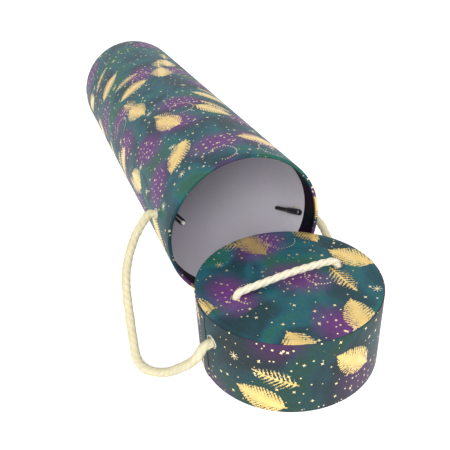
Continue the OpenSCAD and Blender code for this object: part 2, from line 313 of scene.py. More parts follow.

# Cotton, spun and laid: soft, no gloss, its fine yarns running along the rope, and the grooves
# between the strands painted browner as painted shade. The taut handle is painted paler as
# painted light from above, and the slack lengths carry a soiled mottle that leaves them duller.
rope_cotton, tree, shader = new_material("cotton_rope", srgb("#f0e7c8"))
lay_map = add(tree, "ShaderNodeUVMap", {"uv_map": "Lay"})
yarn_size = add(tree, "ShaderNodeMapping", {}, {
    "Vector": lay_map.outputs[0], "Scale": (0.16, 1.9, 1),
})
yarns = add(tree, "ShaderNodeTexNoise", {}, {"Vector": yarn_size, "Scale": 1.0, "Detail": 3.0})
crown = add(tree, "ShaderNodeAttribute", {"attribute_name": "crown"})
# Painted shade: the grooves between the strands are painted browner, most where the crown is
# lowest
groove = add(tree, "ShaderNodeMapRange", {}, {
    "Value": crown.outputs["Fac"], "From Min": 0.2, "From Max": 1.0, "To Min": 0.7, "To Max": 0.0,
})
spun = add(tree, "ShaderNodeMix", {"data_type": "RGBA"}, {
    "Factor": yarns, 6: srgb("#ded2aa"), 7: srgb("#faf3d8"),
})
with_groove_shade = add(tree, "ShaderNodeMix", {"data_type": "RGBA"}, {
    "Factor": groove, 6: spun.outputs[2], 7: srgb("#c5b384"),
})
soiled_size = add(tree, "ShaderNodeMapping", {}, {
    "Vector": lay_map.outputs[0], "Scale": (0.04, 0.5, 1), "Location": (3, 7, 0),
})
soiled = add(tree, "ShaderNodeTexNoise", {}, {"Vector": soiled_size, "Scale": 1.0, "Detail": 2.0})
soil = add(tree, "ShaderNodeMapRange", {}, {
    "Value": soiled, "From Min": 0.4, "From Max": 0.64, "To Min": 0.0, "To Max": 0.6,
})
slack = add(tree, "ShaderNodeAttribute", {"attribute_name": "slack"})
dull = add(tree, "ShaderNodeMath", {"operation": "MULTIPLY"}, {0: soil, 1: slack.outputs["Fac"]})
dulled = add(tree, "ShaderNodeMix", {"data_type": "RGBA"}, {
    "Factor": dull, 6: with_groove_shade.outputs[2], 7: srgb("#d6ce9e"),
})
# Painted light: where the rope is taut, as on the handle, its colour is drawn half way to near
# white, as light from above
pale = add(tree, "ShaderNodeMapRange", {}, {
    "Value": slack.outputs["Fac"], "To Min": 0.5, "To Max": 0.0,
})
with_painted_handle_light = add(tree, "ShaderNodeMix", {"data_type": "RGBA"}, {
    "Factor": pale, 6: dulled.outputs[2], 7: srgb("#fff7e4"),
})
yarn_relief = add(tree, "ShaderNodeBump", {}, {
    "Height": yarns, "Strength": 0.55, "Distance": 0.0004,
})
for name, value in (("Base Color", with_painted_handle_light.outputs[2]), ("Normal", yarn_relief.outputs[0])):
    tree.links.new(value, shader.inputs[name])
shader.inputs["Roughness"].default_value = 0.9
shader.inputs["Specular IOR Level"].default_value = 0.2
shader.inputs["Sheen Weight"].default_value = 0.25

left_path = smooth_path(LEFT_ROUTE)
rope_left, lead_left = laid_rope(
    "rope_left", left_path, (0, 1, 0), [(0, SLACK_R), (1, SLACK_R)], SLACK_FLUFF, SLACK_LAY,
)
right_path = smooth_path(RIGHT_ROUTE)
rope_right, lead_right = laid_rope(
    "rope_right", right_path, (0, 1, 0), [(0, SLACK_R), (1, SLACK_R)], SLACK_FLUFF, SLACK_LAY,
)
left_inner_path = smooth_path(inner_route(-1))
rope_left_inner, lead_leg = laid_rope(
    "rope_left_inner", left_inner_path, lead_left, [(0, SLACK_R), (1, LEG_R)],
    INNER_FLUFF, SLACK_LAY,
)
right_inner_path = smooth_path(inner_route(1))
rope_right_inner, _ = laid_rope(
    "rope_right_inner", right_inner_path, lead_right, [(0, SLACK_R), (1, LEG_R)],
    INNER_FLUFF, SLACK_LAY,
)
handle_path = smooth_path(HANDLE_ROUTE)
rope_handle, _ = laid_rope(
    "rope_handle", handle_path, lead_leg,
    [(0, LEG_R), (0.2, LEG_R), (0.245, TAUT_R), (0.755, TAUT_R), (0.8, LEG_R), (1, LEG_R)],
    TAUT_FLUFF, TAUT_LAY,
)

for rope, node, path, bodies in (
    (rope_left, "left_loop", left_path, ("tube", "lid")),
    (rope_right, "right_loop", right_path, ("tube", "lid")),
    (rope_left_inner, "left_lid_cord", left_inner_path, ("lid", "handle")),
    (rope_right_inner, "right_lid_cord", right_inner_path, ("lid", "handle")),
):
    rope.data.materials.append(rope_cotton)
    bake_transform(rope)
    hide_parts(node)
rope_handle.data.materials.append(rope_cotton)
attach(rope_handle, "handle")
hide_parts("handle_cord")


# The boards: spiral-wound grey board in the tube's wall, and die-cut grey board in the two ends
# and the lid. They show only as the pale cut rims of the punched holes.
BOARD_NODES = ("tube_board", "tube_base_board", "lid_wall_board", "lid_top_board")


def fibrous(name, base, scale, detail, tones, roughness, tooth=None):
    """Board, paper or cut rope: matt, its tone wandering between two with its grain, a noise of
    one scale and detail. tooth adds a fine relief: its own scale, detail, strength and depth"""
    made, tree, shader = new_material(name, srgb(base))
    place = add(tree, "ShaderNodeTexCoord").outputs["Object"]
    grain = add(tree, "ShaderNodeTexNoise", {}, {
        "Vector": place, "Scale": scale, "Detail": detail,
    })
    tone = add(tree, "ShaderNodeMix", {"data_type": "RGBA"}, {
        "Factor": grain, 6: srgb(tones[0]), 7: srgb(tones[1]),
    })
    tree.links.new(tone.outputs[2], shader.inputs["Base Color"])
    shader.inputs["Roughness"].default_value = roughness
    if tooth:
        scale, detail, strength, depth = tooth
        raised = add(tree, "ShaderNodeTexNoise", {}, {
            "Vector": place, "Scale": scale, "Detail": detail,
        })
        relief = add(tree, "ShaderNodeBump", {}, {
            "Height": raised, "Strength": strength, "Distance": depth * MM,
        })
        tree.links.new(relief.outputs[0], shader.inputs["Normal"])
    return made


def coat(nodes, material):
    """Gives the solids of some nodes their material"""
    for name in nodes:
        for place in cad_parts[name].material_slots:
            place.material = material


# Uncoated recycled board: matt, its fibres and flecks about a millimetre long
coat(BOARD_NODES, fibrous(
    "grey_board", "#c9c0ae", 900.0, 4.0, ("#b3a994", "#ddd6c6"), 0.9, (900.0, 4.0, 0.3, 0.2),
))


# The linings: plain mauve-grey paper glued inside the tube and the lid, one sheet round each wall
# and a disc on each end, butted against the printed paper that turns in at the open edge.
LINING_NODES = ("tube_lining", "tube_base_lining", "lid_lining", "lid_top_lining")

# Dyed uncoated paper: matt, with a cloudy formation a few millimetres across and a fine tooth
coat(LINING_NODES, fibrous(
    "dyed_lining_paper", "#efecf3", 240.0, 5.0, ("#ebe7f0", "#f3f0f7"), 0.7,
    (2600.0, 2.0, 0.15, 0.1),
))


# The tube's wrap: one sheet of printed paper glued round the board, folded over the rim and 15 mm
# into the mouth, and turned in under the base, its ends lapped about 9 mm on the underside. Two
# holes are punched through it, the board and the lining together.
PAPER_T = 0.25
FOLD_R = 0.45
FOLD_STEPS = 4
ROUND_SIDES = 144
LAP_SIDES = 4
SMOOTH_ANGLE = math.radians(35)
TUBE_L = 316.0
TUBE_BOARD_T = 1.8
MOUTH_TURN = 15.0
BASE_TURN = 4.0
TUBE_LAP_TURN = math.radians(50)
TUBE_HOLE_D = 6.0
TUBE_HOLE_LOW = 1.0
HOLE_BACK = 28.5
MOUTH_Y = -104.0
PUNCH_DEPTH = 200.0
PUNCH_SIDES = 64
MERGE_WITHIN = 0.001
TUBE_PLACE = Matrix.Translation((TUBE_AXIS[0] * MM, MOUTH_Y * MM, TUBE_AXIS[1] * MM))
TUBE_PLACE = TUBE_PLACE @ Matrix.Rotation(-math.pi / 2, 4, "X")


def edit(wanted):
    """Edit mode with the wanted faces of the active mesh selected"""
    bpy.ops.object.mode_set(mode="EDIT")
    bpy.ops.mesh.select_mode(type="FACE")
    bpy.ops.mesh.select_all(action="DESELECT")
    bpy.ops.object.mode_set(mode="OBJECT")
    for face in bpy.context.object.data.polygons:
        face.select = wanted(face)
    bpy.ops.object.mode_set(mode="EDIT")


def fold(middle, start):
    """Points of a quarter-round fold about a middle, from one quarter to the next"""
    return [
        (
            middle[0] + FOLD_R * math.cos(start + math.pi / 2 * i / FOLD_STEPS),
            middle[1] + FOLD_R * math.sin(start + math.pi / 2 * i / FOLD_STEPS),
        )
        for i in range(FOLD_STEPS + 1)
    ]


def draw_out(name, line, fill, extrude):
    """A circle drawn out step by step along a line of radii and heights, left in edit mode"""
    bpy.ops.object.select_all(action="DESELECT")
    bpy.ops.mesh.primitive_circle_add(
        vertices=ROUND_SIDES, radius=line[0][0] * MM, fill_type=fill,
    )
    made = bpy.context.object
    made.name = made.data.name = name
    bpy.ops.object.mode_set(mode="EDIT")
    bpy.ops.mesh.select_all(action="SELECT")
    bpy.ops.transform.translate(value=(0, 0, line[0][1] * MM))
    for (r, z), (next_r, next_z) in zip(line, line[1:]):
        extrude(TRANSFORM_OT_translate={"value": (0, 0, (next_z - z) * MM)})
        share = next_r / r
        bpy.ops.transform.resize(value=(share, share, 1), center_override=(0, 0, next_z * MM))
    return made


def turned_sheet(name, line):
    """A closed ring of paper: a line of radii and heights along its outer face and back along
    its inner face, bridged where the two ends meet"""
    made = draw_out(name, line, "NOTHING", bpy.ops.mesh.extrude_edges_move)
    bpy.ops.object.mode_set(mode="OBJECT")
    for i, vertex in enumerate(made.data.vertices):
        vertex.select = i < ROUND_SIDES or i >= (len(line) - 1) * ROUND_SIDES
    for edge in made.data.edges:
        edge.select = all(made.data.vertices[v].select for v in edge.vertices)
    bpy.ops.object.mode_set(mode="EDIT")
    bpy.ops.mesh.select_mode(type="EDGE")
    bpy.ops.mesh.bridge_edge_loops()
    bpy.ops.mesh.select_all(action="SELECT")
    bpy.ops.mesh.normals_make_consistent(inside=False)
    bpy.ops.object.mode_set(mode="OBJECT")
    return made


def lay_paper(made, outside, inside, lap_turn):
    """The sheet's own map in millimetres: round it from the lap's free edge, and along it over
    every fold, as it lay flat before it was glued on"""
    along = [0.0]
    for p, q in zip(outside, outside[1:]):
        along.append(along[-1] + math.dist(p, q))
    for p in inside:
        nearest = min(range(len(outside)), key=lambda i: math.dist(p, outside[i]))
        along.append(along[nearest])
    wide = max(r for r, z in outside)
    mesh = made.data
    paper = mesh.uv_layers.new(name="Paper")
    for face in mesh.polygons:
        turns = []
        for v in face.vertices:
            co = mesh.vertices[v].co
            turns.append((math.atan2(co.y, co.x) - lap_turn) % math.tau)
        for loop, turn in zip(face.loop_indices, turns):
            if max(turns) - turn > math.pi:
                turn += math.tau
            ring = mesh.loops[loop].vertex_index // ROUND_SIDES
            paper.data[loop].uv = (turn * wide, along[ring])


def raise_lap(lap_turn, low, high):
    """Raises the strip of the outer face where the sheet's ends are glued over each other"""
    width = LAP_SIDES * math.tau / ROUND_SIDES

    def in_lap(face):
        away = (math.atan2(face.center.y, face.center.x) - lap_turn) % math.tau
        upright = abs(face.normal.z) < 0.2
        out = face.normal.x * face.center.x + face.normal.y * face.center.y > 0
        return out and upright and away < width and low * MM < face.center.z < high * MM

    edit(in_lap)
    bpy.ops.mesh.extrude_region_shrink_fatten(
        TRANSFORM_OT_shrink_fatten={"value": PAPER_T * MM}
    )
    bpy.ops.object.mode_set(mode="OBJECT")


def settle(made, place):
    """Puts a finished piece's place into its mesh and smooths it up to its crisp edges"""
    bpy.ops.object.select_all(action="DESELECT")
    made.select_set(True)
    bpy.context.view_layer.objects.active = made
    made.matrix_world = place
    bpy.ops.object.transform_apply()
    bpy.ops.object.shade_smooth_by_angle(angle=SMOOTH_ANGLE)


def wrap(name, r, length, board_t, turn_ins, rings, lap_turn, place):
    """A printed sheet round a board: over the open rim and in, and in over the closed end.
    turn_ins are its widths at the open and the closed end, and rings the heights at which its
    outer and inner faces are divided"""
    board_r = r - PAPER_T
    inside_r = board_r - board_t
    turned_z = length - PAPER_T
    outside = (
        [(inside_r - PAPER_T, turn_ins[0])]
        + fold((inside_r - PAPER_T + FOLD_R, FOLD_R), math.pi)
        + fold((r - FOLD_R, FOLD_R), -math.pi / 2)
        + [(r, z) for z in rings[0]]
        + fold((r - FOLD_R, turned_z - FOLD_R), 0)
        + [(r - turn_ins[1], turned_z)]
    )
    inside = (
        [(r - turn_ins[1], turned_z - PAPER_T), (board_r, turned_z - PAPER_T)]
        + [(board_r, z) for z in rings[1]]
        + [(board_r, PAPER_T), (inside_r, PAPER_T), (inside_r, turn_ins[0])]
    )
    made = turned_sheet(name, outside + inside)
    lay_paper(made, outside, inside, lap_turn)
    raise_lap(lap_turn, FOLD_R, turned_z - FOLD_R)
    settle(made, place)
    return made


def punch(made, diameter, place, sides=PUNCH_SIDES):
    """Punches a round hole along a tool's own Z, and merges the points that it leaves doubled"""
    bpy.ops.object.select_all(action="DESELECT")
    bpy.ops.mesh.primitive_cylinder_add(
        vertices=sides, radius=diameter / 2 * MM, depth=PUNCH_DEPTH * MM,
    )
    tool = bpy.context.object
    tool.matrix_world = place
    hole = made.modifiers.new("hole", "BOOLEAN")
    hole.operation = "DIFFERENCE"
    hole.object = tool
    bpy.context.view_layer.objects.active = made
    bpy.ops.object.modifier_apply(modifier=hole.name)
    bpy.data.objects.remove(tool)
    edit(lambda face: True)
    bpy.ops.mesh.remove_doubles(threshold=MERGE_WITHIN * MM)
    bpy.ops.object.mode_set(mode="OBJECT")


tube_paper = wrap(
    "tube_paper", TUBE_R, TUBE_L, TUBE_BOARD_T, (MOUTH_TURN, BASE_TURN),
    ((10, 22, HOLE_BACK, 35, 50, 90, 150, 220, 280), (150, 35, 22)), TUBE_LAP_TURN, TUBE_PLACE,
)
TUBE_HOLES = (
    Matrix.Translation((TUBE_AXIS[0] * MM, TUBE_HOLE_Y * MM, TUBE_AXIS[1] * MM))
    @ Matrix.Rotation(TUBE_HOLE_TURN, 4, "Y") @ Matrix.Translation((0, 0, -TUBE_HOLE_LOW * MM))
    @ Matrix.Rotation(math.pi / 2, 4, "Y")
)
punch(tube_paper, TUBE_HOLE_D, TUBE_HOLES)

# The white core of the printed paper where the punch tore it: matt and fibrous
BURR_R = 0.32
paper_core = fibrous(
    "torn_paper_core", "#d0d0ca", 1800.0, 3.0, ("#a3a7a2", "#e9e8e0"), 0.95,
)


def burr(made, holes, side, diameter, wall):
    """The torn edge of a punched hole: an uneven pale ring of paper core round it, pressed to the
    wall's curve and joined to the wrap"""
    bpy.ops.object.select_all(action="DESELECT")
    bpy.ops.mesh.primitive_torus_add(
        major_segments=PUNCH_SIDES, minor_segments=10, generate_uvs=False,
        major_radius=(diameter / 2 + BURR_R) * MM, minor_radius=BURR_R * MM,
    )
    ring = bpy.context.object
    ring.data.materials.append(paper_core)
    for vertex in ring.data.vertices:
        x, y, z = (part / MM for part in vertex.co)
        turn = math.atan2(y, x)
        # How far the tear stands up: most on one side, and uneven round the hole
        height = 1.2 + 0.9 * math.cos(turn - 2.8) + 0.4 * math.sin(3 * turn)
        height += 0.35 * math.sin(8 * turn) + 0.25 * math.sin(13 * turn + 1)
        vertex.co = (x * MM, y * MM, side * (wall(x, y) + max(z, 0) * height + min(z, 0)) * MM)
    if side < 0:
        ring.data.flip_normals()
    ring.matrix_world = holes
    bpy.ops.object.transform_apply()
    bpy.ops.object.shade_smooth()
    made.select_set(True)
    bpy.context.view_layer.objects.active = made
    bpy.ops.object.join()


def scatter(tree, paper, spacing, looseness, shift):
    """Cells over the sheet: each cell's own coordinates in millimetres, turned by chance about
    its middle, and three chances"""
    moved = add(tree, "ShaderNodeVectorMath", {"operation": "ADD"}, {0: paper, 1: shift})
    sized = add(tree, "ShaderNodeVectorMath", {"operation": "SCALE"}, {
        0: moved, "Scale": 1 / spacing,
    })
    cells = add(tree, "ShaderNodeTexVoronoi", {"voronoi_dimensions": "2D"}, {
        "Vector": sized, "Scale": 1.0, "Randomness": looseness,
    })
    offset = add(tree, "ShaderNodeVectorMath", {"operation": "SUBTRACT"}, {
        0: sized, 1: cells.outputs["Position"],
    })
    local = add(tree, "ShaderNodeVectorMath", {"operation": "SCALE"}, {
        0: offset, "Scale": spacing,
    })
    chances = add(tree, "ShaderNodeSeparateColor", {}, {"Color": cells.outputs["Color"]})
    angle = add(tree, "ShaderNodeMath", {"operation": "MULTIPLY"}, {
        0: chances.outputs[0], 1: math.tau,
    })
    turned = add(tree, "ShaderNodeVectorRotate", {"rotation_type": "Z_AXIS"}, {
        "Vector": local, "Angle": angle,
    })
    parts = add(tree, "ShaderNodeSeparateXYZ", {}, {0: turned})
    return turned, parts.outputs[0], parts.outputs[1], chances


def within(tree, value, limit, soft):
    """One where value is under limit and nothing where it is over, soft to either side of it"""
    return add(tree, "ShaderNodeMapRange", {"interpolation_type": "SMOOTHSTEP"}, {
        "Value": value, "From Min": limit - soft, "From Max": limit + soft,
        "To Min": 1.0, "To Max": 0.0,
    })


def both(tree, a, b):
    """Where two patterns overlap"""
    return add(tree, "ShaderNodeMath", {"operation": "MULTIPLY"}, {0: a, 1: b})


def either(tree, a, b):
    """Where one of two patterns is"""
    return add(tree, "ShaderNodeMath", {"operation": "MAXIMUM"}, {0: a, 1: b})


def picked(tree, chances, share):
    """A share of the cells, by chance"""
    return within(tree, chances.outputs[1], share, 0.001)


def fronds(tree, paper, spacing, shift, half_length, half_width, barb, share, crowded):
    """Foil fronds: a stem with slanting barbs either side, filled near the stem and ragged at
    their tips, as a dry brush leaves them"""
    rough = add(tree, "ShaderNodeTexNoise", {"noise_dimensions": "2D"}, {
        "Vector": paper, "Scale": 0.9, "Detail": 3.0,
    })
    shake = add(tree, "ShaderNodeVectorMath", {"operation": "SUBTRACT"}, {
        0: rough.outputs["Color"], 1: (0.5, 0.5, 0.5),
    })
    shaken = add(tree, "ShaderNodeVectorMath", {"operation": "MULTIPLY_ADD"}, {
        0: shake, 1: (2.2, 2.2, 0), 2: paper,
    })
    _, x, y, chances = scatter(tree, shaken, spacing, 0.55, shift)
    side = add(tree, "ShaderNodeMath", {"operation": "ABSOLUTE"}, {0: x})
    t = add(tree, "ShaderNodeMath", {"operation": "DIVIDE"}, {0: y, 1: half_length})
    t_squared = both(tree, t, t)
    room = add(tree, "ShaderNodeMath", {"operation": "SUBTRACT", "use_clamp": True}, {
        0: 1.0, 1: t_squared,
    })
    rounded = add(tree, "ShaderNodeMath", {"operation": "POWER"}, {0: room, 1: 0.75})
    lean = add(tree, "ShaderNodeMath", {"operation": "MULTIPLY_ADD"}, {0: t, 1: -0.12, 2: 0.9})
    width = both(tree, both(tree, rounded, lean), half_width)
    ratio = add(tree, "ShaderNodeMath", {"operation": "DIVIDE"}, {
        0: side, 1: add(tree, "ShaderNodeMath", {"operation": "MAXIMUM"}, {0: width, 1: 0.01}),
    })
    slant = add(tree, "ShaderNodeMath", {"operation": "MULTIPLY_ADD"}, {0: side, 1: -0.8, 2: y})
    count = add(tree, "ShaderNodeMath", {"operation": "DIVIDE"}, {0: slant, 1: barb})
    comb = add(tree, "ShaderNodeMath", {"operation": "FRACT"}, {0: count})
    fullness = add(tree, "ShaderNodeMath", {"operation": "MULTIPLY_ADD"}, {
        0: ratio, 1: -0.75, 2: crowded,
    })
    left_over = add(tree, "ShaderNodeMath", {"operation": "SUBTRACT"}, {0: comb, 1: fullness})
    barbs = both(tree, within(tree, left_over, 0.0, 0.03), within(tree, ratio, 1.0, 0.02))
    stem = both(tree, within(tree, side, 0.45, 0.05), within(tree, t_squared, 1.15, 0.02))
    return both(tree, either(tree, barbs, stem), picked(tree, chances, share))


def dots(tree, paper, spacing, shift, radius, share, looseness=1.0):
    """Round dots, from 0.6 to 1.3 of the radius"""
    turned, _, _, chances = scatter(tree, paper, spacing, looseness, shift)
    reach = add(tree, "ShaderNodeVectorMath", {"operation": "LENGTH"}, {0: turned})
    size = add(tree, "ShaderNodeMath", {"operation": "MULTIPLY_ADD"}, {
        0: chances.outputs[2], 1: radius * 0.7, 2: radius * 0.6,
    })
    beyond = add(tree, "ShaderNodeMath", {"operation": "SUBTRACT"}, {
        0: reach.outputs["Value"], 1: size,
    })
    return both(tree, within(tree, beyond, 0.0, 0.06), picked(tree, chances, share))


def small_stars(tree, paper, spacing, shift, reach, share):
    """Four-pointed stars: the sum of the roots of both distances stays under a limit"""
    _, x, y, chances = scatter(tree, paper, spacing, 0.8, shift)
    roots = []
    for part in (x, y):
        far = add(tree, "ShaderNodeMath", {"operation": "ABSOLUTE"}, {0: part})
        roots.append(add(tree, "ShaderNodeMath", {"operation": "SQRT"}, {0: far}))
    total = add(tree, "ShaderNodeMath", {"operation": "ADD"}, {0: roots[0], 1: roots[1]})
    drawn = within(tree, total, math.sqrt(reach), 0.05)
    return both(tree, drawn, picked(tree, chances, share))


def ray_stars(tree, paper, spacing, shift, rays, reach, line, share):
    """Stars of thin rays about a point, each ray a line of one width"""
    turned, x, y, chances = scatter(tree, paper, spacing, 0.6, shift)
    angle = add(tree, "ShaderNodeMath", {"operation": "ARCTAN2"}, {0: y, 1: x})
    wave = add(tree, "ShaderNodeMath", {"operation": "MULTIPLY"}, {0: angle, 1: rays / 2})
    swing = add(tree, "ShaderNodeMath", {"operation": "SINE"}, {0: wave})
    off = add(tree, "ShaderNodeMath", {"operation": "ABSOLUTE"}, {0: swing})
    length = add(tree, "ShaderNodeVectorMath", {"operation": "LENGTH"}, {0: turned})
    away = add(tree, "ShaderNodeMath", {"operation": "MULTIPLY"}, {
        0: off, 1: length.outputs["Value"],
    })
    drawn = both(
        tree,
        within(tree, away, line * rays / 4, line * 0.4),
        within(tree, length.outputs["Value"], reach, 0.1),
    )
    return both(tree, drawn, picked(tree, chances, share))


def dotted_arcs(tree, paper, spacing, shift, radius, pitch, dot, share):
    """Arcs of small dots, two thirds of a circle each"""
    turned, x, y, chances = scatter(tree, paper, spacing, 0.6, shift)
    angle = add(tree, "ShaderNodeMath", {"operation": "ARCTAN2"}, {0: y, 1: x})
    dots_round = round(math.tau * radius / pitch)
    # A hundred dots on, so that the count stays over nothing
    along = add(tree, "ShaderNodeMath", {"operation": "MULTIPLY_ADD"}, {
        0: angle, 1: dots_round / math.tau, 2: 100.0,
    })
    share_of = add(tree, "ShaderNodeMath", {"operation": "FRACT"}, {0: along})
    from_dot = add(tree, "ShaderNodeMath", {"operation": "MULTIPLY_ADD"}, {
        0: share_of, 1: pitch, 2: -pitch / 2,
    })
    length = add(tree, "ShaderNodeVectorMath", {"operation": "LENGTH"}, {0: turned})
    from_line = add(tree, "ShaderNodeMath", {"operation": "SUBTRACT"}, {
        0: length.outputs["Value"], 1: radius,
    })
    squares = add(tree, "ShaderNodeMath", {"operation": "ADD"}, {
        0: both(tree, from_dot, from_dot), 1: both(tree, from_line, from_line),
    })
    drawn = both(tree, within(tree, squares, dot * dot, 0.02), within(tree, angle, 1.0, 0.01))
    return both(tree, drawn, picked(tree, chances, share))


def printed_paper(name, shift, turned_in=0.0, painted_light_share=1.0):
    """Coated paper, printed in watercolour blues and greens with soft purple patches, varnished,
    and hot-stamped with gold foil: satin all over, the foil a mirror with fine creases. Inside the
    turned_in margin it is darkened as painted shade, and the last argument darkens the print
    alone as painted shade: the share of its brightness that the print keeps"""
    made, tree, shader = new_material(name, srgb("#2c5a64"))
    sheet = add(tree, "ShaderNodeUVMap", {"uv_map": "Paper"})
    paper = add(tree, "ShaderNodeVectorMath", {"operation": "ADD"}, {
        0: sheet.outputs[0], 1: (shift, shift * 0.7, 0),
    })

    # The washes: clouds of colour 20 to 40 mm across, with the grain of the brush in them
    wash = add(tree, "ShaderNodeTexNoise", {"noise_dimensions": "2D"}, {
        "Vector": paper, "Scale": 0.032, "Detail": 2.0, "Distortion": 0.4,
    })
    washes = add(tree, "ShaderNodeValToRGB", {}, {"Fac": wash})
    ramp = washes.color_ramp
    ramp.elements[0].position, ramp.elements[0].color = 0.34, srgb("#0f343d")
    ramp.elements[1].position, ramp.elements[1].color = 0.68, srgb("#1d5849")
    for position, colour in ((0.44, "#12434e"), (0.53, "#155763"), (0.60, "#1a5f5a")):
        ramp.elements.new(position).color = srgb(colour)
    bristle = add(tree, "ShaderNodeTexNoise", {"noise_dimensions": "2D"}, {
        "Vector": paper, "Scale": 0.5, "Detail": 6.0, "Roughness": 0.65,
    })
    grain = add(tree, "ShaderNodeMapRange", {}, {
        "Value": bristle, "From Min": 0.3, "From Max": 0.7, "To Min": 0.85, "To Max": 1.15,
    })
    ground = add(tree, "ShaderNodeVectorMath", {"operation": "SCALE"}, {
        0: washes, "Scale": grain.outputs[0],
    })

    # Purple patches about 30 mm long and 20 mm wide with feathered edges
    feather = add(tree, "ShaderNodeTexNoise", {"noise_dimensions": "2D"}, {
        "Vector": paper, "Scale": 0.28, "Detail": 5.0, "Roughness": 0.7,
    })
    turned, _, _, chances = scatter(tree, paper, 44.0, 0.7, (11, 5, 0))
    squeezed = add(tree, "ShaderNodeVectorMath", {"operation": "MULTIPLY"}, {
        0: turned, 1: (1.25, 0.85, 0),
    })
    reach = add(tree, "ShaderNodeVectorMath", {"operation": "LENGTH"}, {0: squeezed})
    edge = add(tree, "ShaderNodeMath", {"operation": "MULTIPLY_ADD"}, {
        0: feather, 1: 13.0, 2: reach.outputs["Value"],
    })
    chosen = picked(tree, chances, 0.62)
    patch = both(tree, within(tree, edge, 20.0, 9.0), chosen)
    heart = both(tree, within(tree, edge, 18.0, 0.2), chosen)
    purple = add(tree, "ShaderNodeMix", {"data_type": "RGBA"}, {
        "Factor": feather, 6: srgb("#43205a"), 7: srgb("#873a90"),
    })
    tinted = add(tree, "ShaderNodeMix", {"data_type": "RGBA"}, {
        "Factor": both(tree, patch, 0.85), 6: ground, 7: purple.outputs[2],
    })

    # Gold foil: large fronds and fine marks, the fine ones paler
    large = either(
        tree,
        fronds(
            tree, paper, spacing=50.0, shift=(3, 9, 0), half_length=14.0, half_width=9.5,
            barb=2.0, share=0.8, crowded=1.15,
        ),
        fronds(
            tree, paper, spacing=58.0, shift=(31, 17, 0), half_length=12.0, half_width=9.0,
            barb=2.4, share=0.7, crowded=0.62,
        ),
    )
    marks = [
        small_stars(tree, paper, 9.0, (2, 4, 0), reach=1.6, share=0.42),
        ray_stars(tree, paper, 32.0, (7, 1, 0), rays=8, reach=2.8, line=0.3, share=0.5),
        dots(tree, paper, 5.5, (1, 2, 0), radius=0.4, share=0.33),
        dotted_arcs(tree, paper, 46.0, (19, 23, 0), radius=9.0, pitch=1.7, dot=0.42, share=0.4),
        both(
            tree, dots(tree, paper, 5.0, (5, 3, 0), radius=0.55, share=0.9, looseness=0.25), heart,
        ),
    ]
    foil = large
    for mark in marks:
        foil = either(tree, foil, mark)
    along = add(tree, "ShaderNodeSeparateXYZ", {}, {0: sheet.outputs[0]})
    # Painted shade: inside the turned-in margin the print is darkened to a tenth, its foil to a
    # hundredth and its gloss to a tenth
    turned_in_shade = add(tree, "ShaderNodeMapRange", {"interpolation_type": "SMOOTHSTEP"}, {
        "Value": along.outputs[1], "From Min": turned_in - 1.5, "From Max": turned_in + 1.0,
        "To Min": 0.1 if turned_in else 1.0, "To Max": 1.0,
    })
    foil = both(tree, foil, both(tree, turned_in_shade, turned_in_shade))
    # depth scales the print by both painted shades: the turned-in margin's and the last argument's
    depth = both(tree, turned_in_shade, painted_light_share)
    crease = add(tree, "ShaderNodeTexNoise", {"noise_dimensions": "2D"}, {
        "Vector": paper, "Scale": 0.22, "Detail": 3.0,
    })
    leaf = add(tree, "ShaderNodeMix", {"data_type": "RGBA"}, {
        "Factor": crease, 6: srgb("#e3bd6c"), 7: srgb("#fbe09a"),
    })
    gold = add(tree, "ShaderNodeMix", {"data_type": "RGBA"}, {
        "Factor": large, 6: srgb("#f6e6b4"), 7: leaf.outputs[2],
    })
    print_with_painted_shade = add(tree, "ShaderNodeVectorMath", {"operation": "SCALE"}, {
        0: tinted.outputs[2], "Scale": depth.outputs[0],
    })
    colour = add(tree, "ShaderNodeMix", {"data_type": "RGBA"}, {
        "Factor": foil, 6: print_with_painted_shade, 7: gold.outputs[2],
    })
    gloss = add(tree, "ShaderNodeMapRange", {}, {
        "Value": foil, "To Min": 0.52, "To Max": 0.32,
    })
    metal = add(tree, "ShaderNodeMath", {"operation": "MULTIPLY"}, {0: foil, 1: 0.8})
    relief = add(tree, "ShaderNodeBump", {}, {
        "Height": crease, "Strength": 0.12, "Distance": 0.0008,
    })
    tree.links.new(colour.outputs[2], shader.inputs["Base Color"])
    tree.links.new(gloss.outputs[0], shader.inputs["Roughness"])
    tree.links.new(metal.outputs[0], shader.inputs["Metallic"])
    # The gloss takes the turned-in margin's painted shade too
    shine = add(tree, "ShaderNodeMath", {"operation": "MULTIPLY"}, {0: turned_in_shade, 1: 0.35})
    tree.links.new(shine.outputs[0], shader.inputs["Specular IOR Level"])
    tree.links.new(relief.outputs[0], shader.inputs["Normal"])
    return made


def paint(made, material):
    """Gives a piece of the scene its one material"""
    made.data.materials.clear()
    made.data.materials.append(material)


paint(tube_paper, printed_paper("printed_coated_paper_tube", 0.0, MOUTH_TURN))
for side in (-1, 1):
    burr(
        tube_paper, TUBE_HOLES, side, TUBE_HOLE_D,
        lambda x, y: math.sqrt(TUBE_R ** 2 - (x + TUBE_HOLE_LOW) ** 2),
    )
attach(tube_paper, "tube")
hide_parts("tube_wrap")


# The lid's wrap: the same paper round the lid's wall, folded under the rim and 12 mm up inside,
# and turned in over the top, its lap on the left. The two wall holes are punched through it.
LID_H = 48.0
LID_BOARD_T = 1.2
RIM_TURN = 12.0
TOP_TURN = 4.0
LID_LAP_TURN = math.radians(178)
LID_HOLE_D = 7.0
LID_HOLE_Z = 31.9
LID_PLACE = Matrix.Translation((LID_AXIS[0] * MM, LID_AXIS[1] * MM, 0))

